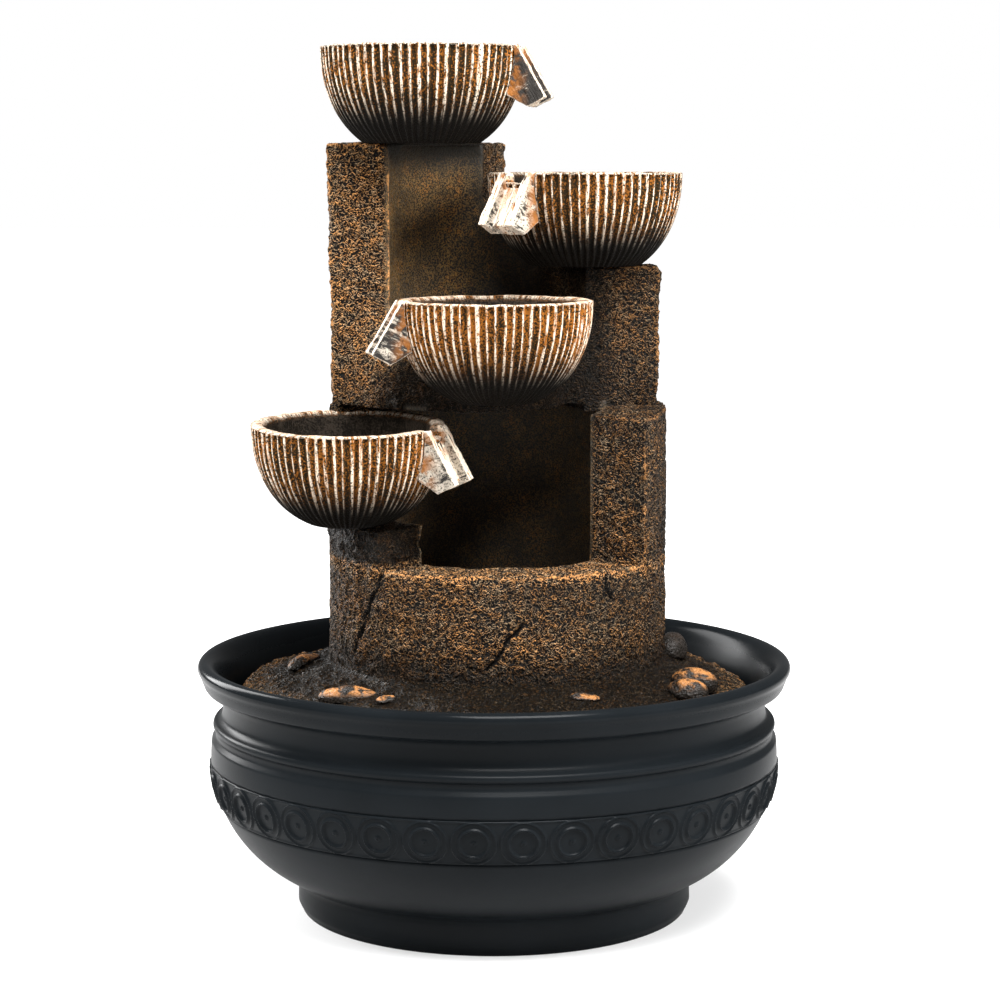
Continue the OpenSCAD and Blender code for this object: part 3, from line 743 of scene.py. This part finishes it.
def paint_and_shade_share(points):
    """How much paint was brushed on, less the shade painted under the third bowl, beside the upper niche, on
    the low step and in the upper niche: most on the pillar's front and the ledge, least low down.
    """
    x, y, z = points.T
    share = 0.36 + 0.22 * lumps(points, 40 * MM, 5)
    # the drum: more in its middle, less near the deck
    share += 0.06 * smooth_step(np.abs(x - AXIS_X), 66 * MM, 30 * MM) * (z < LEDGE_Z)
    share *= 0.15 + 0.85 * smooth_step(z, DECK_TOP, DECK_TOP + 24 * MM)
    # the pillar and the ledge
    share += 0.50 * smooth_step(-x, 40 * MM, 50 * MM) * smooth_step(z, BLOCK_Z - 4 * MM, BLOCK_Z + 40 * MM)
    share += 0.55 * smooth_step(z, LEDGE_Z - 6 * MM, LEDGE_Z - 1 * MM) * (z < LEDGE_Z + 1.5 * MM) * (y < 0)
    # painted shade under the third bowl, beside the upper niche and on the low step
    under_third = smooth_step(z, 262 * MM, 246 * MM) * smooth_step(z, 228 * MM, 236 * MM)
    share *= 1 - 0.85 * under_third * smooth_step(np.abs(x), 60 * MM, 40 * MM)
    inner_right = smooth_step(x, 58 * MM, 44 * MM) * smooth_step(x, 14 * MM, 26 * MM)
    share *= 1 - 0.8 * inner_right * smooth_step(y, 36 * MM, 16 * MM) * (z > BLOCK_Z)
    share *= 1 - 0.75 * step_share(points)
    # the niches: the upper one with painted shade on its right side and under the top bowl, and less mist
    # towards its bottom
    niche = niche_share(points)
    shaded = smooth_step(x, -20 * MM, 8 * MM) * 0.9
    upper = (1 - shaded) * smooth_step(z, 258 * MM, 292 * MM) + 0.1
    upper = upper * smooth_step(z, PILLAR_Z - 2 * MM, PILLAR_Z - 22 * MM)
    return np.clip(share + niche * (np.where(z > BLOCK_Z, upper, 0.42) - share), 0, 1.3)


def step_share(points):
    """1 on the low step under the lowest bowl, which is split in layers."""
    x, y, z = points.T
    above = smooth_step(z, LEDGE_Z + 1 * MM, LEDGE_Z + 4 * MM)
    return above * (z < STEP_Z + 1 * MM) * (y < -2 * MM) * (x < 0)


def bare_share(points):
    """1 where two blocks join or a niche turns, which keeps the edge paint off."""
    x, y, z = points.T
    bearing = np.degrees(np.arctan2(x - AXIS_X, -y))
    front = (bearing > -STEP_ANGLE - 2) & (bearing < POST_ANGLE + 2)
    seam = (np.abs(z - LEDGE_Z) < 5 * MM) & ~front
    post = (y < -2 * MM) & (x > 30 * MM)
    block_foot = (np.abs(z - BLOCK_Z) < 5 * MM) & ~post
    run_x, run_y = JOIN_OUT[0] - JOIN_IN[0], JOIN_OUT[1] - JOIN_IN[1]
    across = (x - JOIN_IN[0]) * run_y - (y - JOIN_IN[1]) * run_x
    join = (np.abs(across / math.hypot(run_x, run_y)) < 3 * MM) & (y > 30 * MM)
    round_niche = (np.hypot(x - UPPER_BORE_X, y) < UPPER_BORE_R + 3 * MM) & (z > BLOCK_Z)
    inner_right = round_niche & ((x > -30 * MM) | ((z > PILLAR_Z - 12 * MM) & (y > 3 * MM)))
    low_niche = (np.hypot(x - AXIS_X, y) < BORE_R + 3 * MM) & (z > LEDGE_Z + 3 * MM) & (z < BLOCK_Z)
    # the low step keeps little edge paint, as part of the shade painted on it
    step = 0.75 * step_share(points)
    return np.maximum((seam | block_foot | join | inner_right | low_niche).astype(float), step)


def raise_roof(points, moved):
    """Presses the upper niche's roof up towards the pillar's top, so that its front edge doesn't show."""
    out = np.hypot(points[:, 0] - UPPER_BORE_X, points[:, 1])
    roof = smooth_step(out, UPPER_BORE_R, UPPER_BORE_R - 3 * MM) * (points[:, 2] > PILLAR_Z - 7 * MM)
    moved[:, 2] += 0.85 * roof * np.clip(PILLAR_Z - moved[:, 2], 0, None)


def carve(piece, cracks=()):
    """Gives a remeshed stone its uneven faces and hammered ridges, and keeps what its material needs."""
    mesh = piece.data
    near = neighbours(mesh)
    points = points_of(mesh)
    normals = spread(normals_of(mesh), near, 2)
    rough = spread(1 - niche_share(points), near, 3)
    edge = edge_share(points, normals, near, 14, 0.55 * MM)
    edge = edge * (1 - spread(bare_share(points), near, 3))
    crest = ridged(points, RIDGE_SPACING, STONE_SEED)
    broad = lumps(points, 16 * MM, STONE_SEED + 7) + 0.6 * lumps(points, 7 * MM, STONE_SEED + 9)
    shift = rough * (BROAD_HEIGHT * broad + RIDGE_HEIGHT * (crest - 0.4))
    shift = shift + (1 - rough) * 0.15 * BROAD_HEIGHT * broad
    chips = lumps(points, 5 * MM, STONE_SEED + 3) + 0.6 * lumps(points, 11 * MM, STONE_SEED + 4)
    shift -= smooth_step(edge, 0.25, 0.8) * smooth_step(chips, -0.2, 0.9) * CHIP_DEPTH
    groove = np.zeros(len(points))
    for crack in cracks:
        groove = np.maximum(groove, crack(points))
    shift -= groove * CRACK_DEPTH
    # the low step's layers
    strata = lumps(points * np.array([0.35, 0.35, 2.4]), 7 * MM, 21)
    shift += step_share(points) * (1.5 * MM * strata + 0.9 * MM * lumps(points, 11 * MM, 22) - 0.9 * MM)
    moved = points + normals * shift[:, None]
    raise_roof(points, moved)
    move_points(mesh, moved)
    store(mesh, "rough", rough)
    store(mesh, "edge", np.clip(edge, 0, 1))
    store(mesh, "relief", rough * crest + (1 - rough) * 0.5 - 3 * groove)
    store(mesh, "paint_and_shade", spread(paint_and_shade_share(points), near, 4))


def crack_line(*route):
    """A crack down the outside of the tower, through (bearing from the front, height) in degrees and mm."""
    def groove(points):
        x, y, z = points.T
        bearing = np.arctan2(x - AXIS_X, -y)
        nearest = np.full(len(points), 1.0)
        wobble = 1.2 * MM * lumps(points, 4 * MM, 31)
        for (a0, z0), (a1, z1) in zip(route, route[1:]):
            share = np.clip((z0 * MM - z) / ((z0 - z1) * MM), 0, 1)
            line = np.radians(a0 + (a1 - a0) * share)
            gap = np.hypot((bearing - line) * DRUM_R + wobble, z - (z0 + (z1 - z0) * share) * MM)
            nearest = np.minimum(nearest, gap)
        return smooth_step(nearest, 1.1 * MM, 0.2 * MM)
    return groove


def make_stones():
    rock = stone_material("hammered_stone")
    cracks = [
        crack_line((-41, 170), (-43, 160), (-49, 148), (-52, 138), (-56, 128)),
        crack_line((8, 146), (4, 140), (1, 133), (-3, 126)),
        crack_line((38, 165), (40, 155)),
    ]
    drum_cut = DECK_TOP - 6 * MM
    ring = ["left_step", "niche_wall", "right_post"]
    pillars = ["left_pillar", "right_block"]
    # the drum is coarser below the deck, where it is hidden at rest
    plan = [
        ("drum_wall", ["lower_drum"], 0.86 * MM, ("above", drum_cut), (), cracks),
        ("drum_chamber", ["lower_drum"], 1.8 * MM, ("below", drum_cut), (), ()),
        ("ring_blocks", ring, 0.8 * MM, None, ring, cracks[:1]),
        ("tower_blocks", pillars + ["bowl_bracket"], 0.86 * MM, None, pillars, ()),
    ]
    for name, nodes, voxel, cut, sunk, lines in plan:
        piece = remeshed(name, nodes, voxel, cut, sunk)
        carve(piece, lines)
        finish_piece(piece, rock, "tower", nodes)


# ---------------- deck and stones on it

LEAD_NOTCH_R = 5 * MM


def make_deck():
    """The rock plate round the tower, with a fillet up the drum and a notch at the back for a lead."""
    around, rows = 720, 64
    deck_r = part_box("rock_deck")[1].x
    edge_z = 105 * MM
    top_z = 117 * MM
    angle = np.linspace(0, 2 * math.pi, around, endpoint=False)
    circle = 60 * MM * np.stack([np.cos(angle), np.sin(angle), 0 * angle], -1)
    far = deck_r - 0.6 * MM + 1.0 * MM * lumps(circle, 9 * MM, 4)
    aside = np.abs(deck_r * np.cos(angle))
    far = far - np.sqrt(np.clip(LEAD_NOTCH_R ** 2 - aside ** 2, 0, None)) * (np.sin(angle) > 0)
    near_r = DRUM_R - 2.5 * MM
    share = np.linspace(0, 1, rows)
    r = near_r + (far[None, :] - near_r) * share[:, None]
    x, y = r * np.cos(angle) + AXIS_X * (1 - share[:, None]), r * np.sin(angle)
    # from the drum the rock falls to the edge; then come its lumps, the fillet and the rounded edge
    slope = np.interp(r, [70 * MM, 84 * MM, 104 * MM, 116 * MM, 119 * MM],
                      [top_z + 0.5 * MM, top_z - 1 * MM, edge_z + 4.5 * MM, edge_z + 1.5 * MM, edge_z])
    flat = np.stack([x, y, 0 * x], -1).reshape(-1, 3)
    rock = (1.3 * lumps(flat, 14 * MM, 2) + 0.9 * lumps(flat, 6 * MM, 3)
            + 0.9 * ridged(flat, 4.2 * MM, 6)).reshape(x.shape)
    from_drum = np.hypot(x - AXIS_X, y) - DRUM_R
    fillet = 2.8 * MM * np.exp(-np.clip(from_drum, 0, None) / (2.0 * MM))
    top = slope + fillet + (rock - 0.6) * MM * smooth_step(share[:, None], 0, 0.12)
    top = top - 2.5 * MM * smooth_step(r, far - 3.0 * MM, far + 0.4 * MM)
    upper = np.stack([x, y, top], -1)
    below = []
    for reach, drop in ((1.0, 6.5 * MM), (0.9, 5.5 * MM), (0.5, -1 * MM), (0.0, -4 * MM)):
        radius = near_r + (far - 0.8 * MM * (1 - (reach < 1)) - near_r) * reach
        below.append(np.stack([radius * np.cos(angle) + AXIS_X * (1 - reach), radius * np.sin(angle),
                               np.full(around, edge_z - drop)], -1))
    mesh = grid_mesh("deck_plate", np.concatenate([upper, np.stack(below)]))
    flip_if_inside_out(mesh)
    points = points_of(mesh)
    near = neighbours(mesh)
    edge = edge_share(points, normals_of(mesh), near, 10, 0.5 * MM)
    store(mesh, "rough", np.ones(len(points)))
    store(mesh, "edge", np.clip(edge, 0, 1))
    store(mesh, "relief", np.clip(0.5 + 0.5 * edge, 0, 1))
    out = np.hypot(points[:, 0], points[:, 1])
    store(mesh, "paint_and_shade", 0.32 * smooth_step(out, 99 * MM, 113 * MM))
    piece = new_object("deck_plate", mesh)
    finish_piece(piece, stone_material("wet_stone", 0.8, 0.75), "tower", ["rock_deck"])


def flip_if_inside_out(mesh):
    work = bmesh.new()
    work.from_mesh(mesh)
    if work.calc_volume(signed=True) < 0:
        bmesh.ops.reverse_faces(work, faces=work.faces)
    work.to_mesh(mesh)
    work.free()


def make_pebbles():
    """The loose stones: lumpy, and tinted on top."""
    tinted, plain = pebble_material("copper_pebble", 1.0), pebble_material("dark_pebble", 0.12)
    plan = (("log_rock", "log_stone", tinted), ("front_pebbles", "left_pebbles", tinted),
            ("side_pebbles", "right_pebbles", tinted), ("back_rock", "dark_rock", plain))
    for seed, (name, node, material) in enumerate(plan):
        piece = remeshed(name, [node], 0.45 * MM)
        mesh = piece.data
        near = neighbours(mesh)
        points = points_of(mesh)
        normals = spread(normals_of(mesh), near, 3)
        shift = 0.6 * MM * lumps(points, 8 * MM, seed) + 0.22 * MM * lumps(points, 3 * MM, seed + 5)
        move_points(mesh, points + normals * shift[:, None])
        store(mesh, "top", np.clip(spread(normals_of(mesh)[:, 2], near, 3), 0, 1))
        finish_piece(piece, material, "tower", [node])


# ---------------- bowls and chutes

RIBS = 68
BOWL_POWER = 2.2
BOWL_DEPTH = 1.12
BOWL_WALL = 6 * MM
CHANNEL_DEPTH = 4.5 * MM
GROOVE_DEPTH = 1.15 * MM
GROOVE_TOP = 0.7 * MM
STEPS_PER_RIB = 14
# each bowl's chute points this way, in degrees from +X
CHUTE_BEARINGS = {"bowl_1": -12, "bowl_2": -136, "bowl_3": -170, "bowl_4": -22}
# the lowest bowl leans forward, in degrees
LEANS = {"bowl_4": 3}
# how much rust is in the grooves of each bowl
BOWL_WARMTH = {"bowl_1": -0.16, "bowl_2": -0.08, "bowl_3": 0.04, "bowl_4": -0.04}
# how much cream is on the sides of each chute
CHUTE_SHADES = {"bowl_1": -0.11, "bowl_2": 0.10, "bowl_3": 0.0, "bowl_4": 0.12}
# and how bare each channel is
BARE_BEDS = {"bowl_1": 0.6, "bowl_2": 0.6, "bowl_3": 1.0, "bowl_4": 0.0}


def bowl_radius(r, depth, d):
    """The radius at a distance below the rim."""
    return r * np.power(np.clip(1 - np.power(d / depth, BOWL_POWER), 0, 1), 1 / BOWL_POWER)


def rim_of(node):
    """A bowl's radius, the middle of its rim, and its lean."""
    low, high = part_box(node)
    r = (high.x - low.x) / 2
    lean = math.radians(LEANS.get(node, 0))
    middle_y = low.y + r * math.cos(lean)
    return r, np.array([(high.x + low.x) / 2, middle_y, high.z - r * math.sin(lean)]), lean


def leaned(points, rim, lean):
    """Turns points forward about the middle of a rim."""
    x, y, z = (points - rim).reshape(-1, 3).T
    cos, sin = math.cos(lean), math.sin(lean)
    turned = np.stack([x, y * cos - z * sin, y * sin + z * cos], -1)
    return turned.reshape(points.shape) + rim


def rib_relief(r, depth, down, angle, seed):
    """Radius and crest, 1 on a rib, for each distance down and angle, and the rib's luck for each angle."""
    rib = np.floor(angle / (2 * math.pi) * RIBS).astype(int)
    random = np.random.default_rng(seed)
    luck = random.random(RIBS)
    lean = random.normal(0, 0.035, RIBS)
    width = random.normal(1.0, 0.12, RIBS)
    phase = angle / (2 * math.pi) * RIBS - rib - 0.5 + lean[rib]
    outer_r = bowl_radius(r, depth, down)[:, None]
    pitch = 2 * math.pi * outer_r / RIBS
    down = down[:, None]
    places = np.stack(np.broadcast_arrays(rib * 9.0 * MM, down, 0 * down), -1)
    wander = 0.05 * lumps(places.reshape(-1, 3), 9 * MM, seed).reshape(places.shape[:2])
    half = 0.30 * width[rib] * pitch
    gap = np.hypot((phase + wander) * pitch, np.minimum(0, down - (GROOVE_TOP + half)))
    ridge = smooth_step(gap, half * 0.45, half * 1.40)
    crest = np.clip(gap / (0.5 * pitch), 0, 1)
    groove = GROOVE_DEPTH * (pitch / pitch[0]) * (1 - ridge)
    return np.minimum(outer_r - groove - 0.35 * MM * (1 - crest), r), crest, luck[rib]


def make_bowl(name, node, bearing, material, seed):
    """A bowl's skin in rows, from the foot's outside over the rim to the inside's bottom."""
    r, rim, lean_angle = rim_of(node)
    rim_z, base_z = rim[2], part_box(node)[0].z
    tall = rim_z - base_z
    around = RIBS * STEPS_PER_RIB
    angle = np.linspace(0, 2 * math.pi, around, endpoint=False)
    aside = np.abs((angle - math.radians(bearing) + math.pi) % (2 * math.pi) - math.pi) * r
    notch = smooth_step(aside, 9.4 * MM, 8.6 * MM) * CHANNEL_DEPTH
    rows = []

    def add(radius, height, *shares):
        """Adds rows with their crest, how far inside they are, and their share of the way down."""
        rows.append([np.broadcast_to(value, height.shape) for value in (radius, height, *shares)])

    def lowered(down, full):
        """Heights of rows, pressed together under the chute's notch."""
        return rim_z - (notch + down[:, None] * (full - notch) / full)

    # the outside, with rows closer together near the rim
    down = np.concatenate([np.linspace(0, 7, 15)[1:] * MM, np.linspace(7 * MM, tall, 32)[1:]])
    side_r, crest, luck = rib_relief(r, BOWL_DEPTH * r, down, angle, seed)
    add(side_r[::-1], lowered(down, tall)[::-1], crest[::-1], 0.0, (down / tall)[::-1, None])
    # the rounded, wavy rim
    round_r = 1.2 * MM
    wave = 0.25 * MM * lumps(np.stack([r * np.cos(angle), r * np.sin(angle), 0 * angle], -1), 6 * MM, seed)
    for turn in np.radians((20, 55, 90)):
        height = rim_z - notch - round_r + round_r * math.sin(turn) + wave - 0.25 * MM
        add(r - round_r + round_r * math.cos(turn), height[None, :], 1.0, 0.0, 0.0)
    for share, drop, inside in ((0.45, 0.0, 0.0), (0.8, 0.1 * MM, 0.1), (1.0, 1.2 * MM, 0.7)):
        height = rim_z - notch - drop + wave - 0.25 * MM
        add(r - BOWL_WALL * share, height[None, :], 0.80, inside, 0.0)
    # the inside and its bottom
    inner_r = r - BOWL_WALL
    inner_tall = tall - BOWL_WALL
    inner_down = np.linspace(3 * MM, inner_tall, 18)
    inner_profile = bowl_radius(inner_r, inner_tall * 1.06, inner_down)
    inner_profile = inner_r * (inner_profile / inner_profile[0]) - 0.3 * MM
    add(inner_profile[:, None], lowered(inner_down, inner_tall), 0.3, 1.0, 0.3)
    for share in (0.6, 0.2):
        add(inner_profile[-1] * share, np.full((1, around), rim_z - inner_tall - 0.4 * MM), 0.3, 1.0, 0.5)

    radius, height, crest, inside, down = (np.concatenate(values) for values in zip(*rows))
    rings = np.stack([rim[0] + radius * np.cos(angle), rim[1] + radius * np.sin(angle),
                      np.minimum(height, rim_z)], -1)
    if lean_angle:
        rings = leaned(rings, rim, lean_angle)
        rings[..., 2] = np.maximum(rings[..., 2], base_z)
    mesh = grid_mesh(name, rings, closed_rows=False)
    store(mesh, "crest", crest.ravel())
    store(mesh, "warmth", np.full(radius.size, BOWL_WARMTH[node]))
    store(mesh, "inside", inside.ravel())
    store(mesh, "down", down.ravel())
    store(mesh, "luck", np.broadcast_to(luck, radius.shape).ravel())
    run = np.stack(np.broadcast_arrays(angle * r, down * tall, seed * 0.1), -1)
    store(mesh, "run", run.reshape(-1, 3))
    cap_ends(mesh, len(radius), around)
    finish_piece(new_object(name, mesh), material, "tower", [node])


def make_chute(name, node, bowl, bearing, material, seed):
    """A chute with worn faces, which keeps the water's way for its material."""
    piece = remeshed(name, [node], 0.42 * MM)
    mesh = piece.data
    near = neighbours(mesh)
    points = points_of(mesh)
    normals = spread(normals_of(mesh), near, 2)
    edge = edge_share(points, normals, near, 14, 0.35 * MM)
    bowl_r, rim, lean = rim_of(bowl)
    turn = math.radians(bearing)
    forward = np.array([math.cos(turn), math.sin(turn), 0])
    sideways = np.array([-math.sin(turn), math.cos(turn), 0])
    level = leaned(points, rim, -lean)
    out = (level - rim) @ forward - bowl_r
    across = (level - rim) @ sideways
    fall = rim[2] - level[:, 2]
    flow = np.stack([fall * 0.9 + out * 0.45, across, out - fall * 0.5], -1) + seed * 0.05
    grain = lumps(flow * np.array([0.2, 1, 1]), 1.6 * MM, seed)
    shift = 0.22 * MM * grain + 0.3 * MM * lumps(points, 4 * MM, seed + 2) - 0.15 * MM
    moved = points + normals * shift[:, None]
    moved[:, 2] = np.minimum(moved[:, 2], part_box(node)[1].z)
    move_points(mesh, moved)
    store(mesh, "flow", flow)
    store(mesh, "side", smooth_step(np.abs(normals @ sideways), 0.5, 0.9))
    store(mesh, "edge", np.clip(edge, 0, 1))
    store(mesh, "along", np.clip((out + 4 * MM) / (18 * MM), 0, 1))
    in_channel = smooth_step(np.abs(across), 6.4 * MM, 5.2 * MM) * smooth_step(normals @ forward, 0.0, 0.5)
    store(mesh, "bed", in_channel * BARE_BEDS[bowl])
    store(mesh, "shade", np.full(len(points), CHUTE_SHADES[bowl]))
    finish_piece(piece, material, "tower", [node])


def make_bowls():
    ribbed, cream = bowl_material(), chute_material()
    for seed, (node, bearing) in enumerate(CHUTE_BEARINGS.items()):
        number = node[-1]
        make_bowl("ribbed_bowl_" + number, node, bearing, ribbed, seed + 1)
        make_chute("bowl_chute_" + number, "chute_" + number, node, bearing, cream, seed + 1)


# ---------------- pump and tube, kept as the CAD made them

def paint_pump():
    """Materials and soft edges for the pieces that stay as the CAD made them."""
    case = plastic_material("pump_plastic", (0.020, 0.023, 0.027), (0.030, 0.034, 0.040), 0.45)
    rubber = plastic_material("black_rubber", (0.012, 0.012, 0.013), (0.020, 0.020, 0.022), 0.7, 0.0005)
    rubber_nodes = ["volute_seal", "front_bush", "rear_bush", "suction_cups", "cord_gland", "tube_nozzle"]
    steel, dark_steel = (0.42, 0.43, 0.44), (0.16, 0.165, 0.17)
    copper_wire, dark_wire = (0.62, 0.25, 0.09), (0.20, 0.06, 0.02)
    materials = {
        **dict.fromkeys(["pump_housing", "volute", "intake_cover"], case),
        **dict.fromkeys(rubber_nodes, rubber),
        "motor_potting": plastic_material("epoxy", (0.006, 0.006, 0.006), (0.010, 0.010, 0.011), 0.16, 0.004),
        "stator_core": lined_material("laminations", dark_steel, steel, 0.0005, 0.9, 0.35),
        "coil_winding": lined_material("winding", dark_wire, copper_wire, 0.0004, 0.8, 0.3),
        "rotor_shaft": plastic_material("ceramic", (0.76, 0.74, 0.69), (0.86, 0.84, 0.79), 0.2),
        "rotor_magnet": plastic_material("ferrite", (0.050, 0.050, 0.054), (0.085, 0.085, 0.09), 0.5),
        "impeller": plastic_material("white_plastic", (0.70, 0.70, 0.67), (0.80, 0.80, 0.77), 0.4),
        "flow_dial": plastic_material("dial_plastic", (0.055, 0.062, 0.07), (0.075, 0.082, 0.09), 0.4),
        "riser_tube": tube_material(),
    }
    for node, material in materials.items():
        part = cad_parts[node]
        part.data.materials.clear()
        part.data.materials.append(material)
        bevel = part.modifiers.new("soft_edges", "BEVEL")
        bevel.width = 0.25 * MM
        bevel.segments = 2
        bevel.limit_method = "ANGLE"
        bevel.angle_limit = math.radians(50)


def tube_material():
    s = Shader("clear_vinyl")
    cloud = s.noise(0.01, 2)
    s.set(Base_Color=s.mix(s.span(cloud, 0.3, 0.7), (0.62, 0.68, 0.70), (0.72, 0.77, 0.78)),
          Roughness=s.span(cloud, 0.3, 0.7, 0.12, 0.2))
    s.constant("Transmission Weight", 0.7)
    s.constant("IOR", 1.45)
    s.bump(cloud, 0.0001, 0.3)
    return s.material


# ---------------- the scene

make_camera()
make_stage()
satin_black = basin_material()
make_basin(satin_black)
make_frieze(satin_black)
make_stones()
make_deck()
make_pebbles()
make_bowls()
paint_pump()
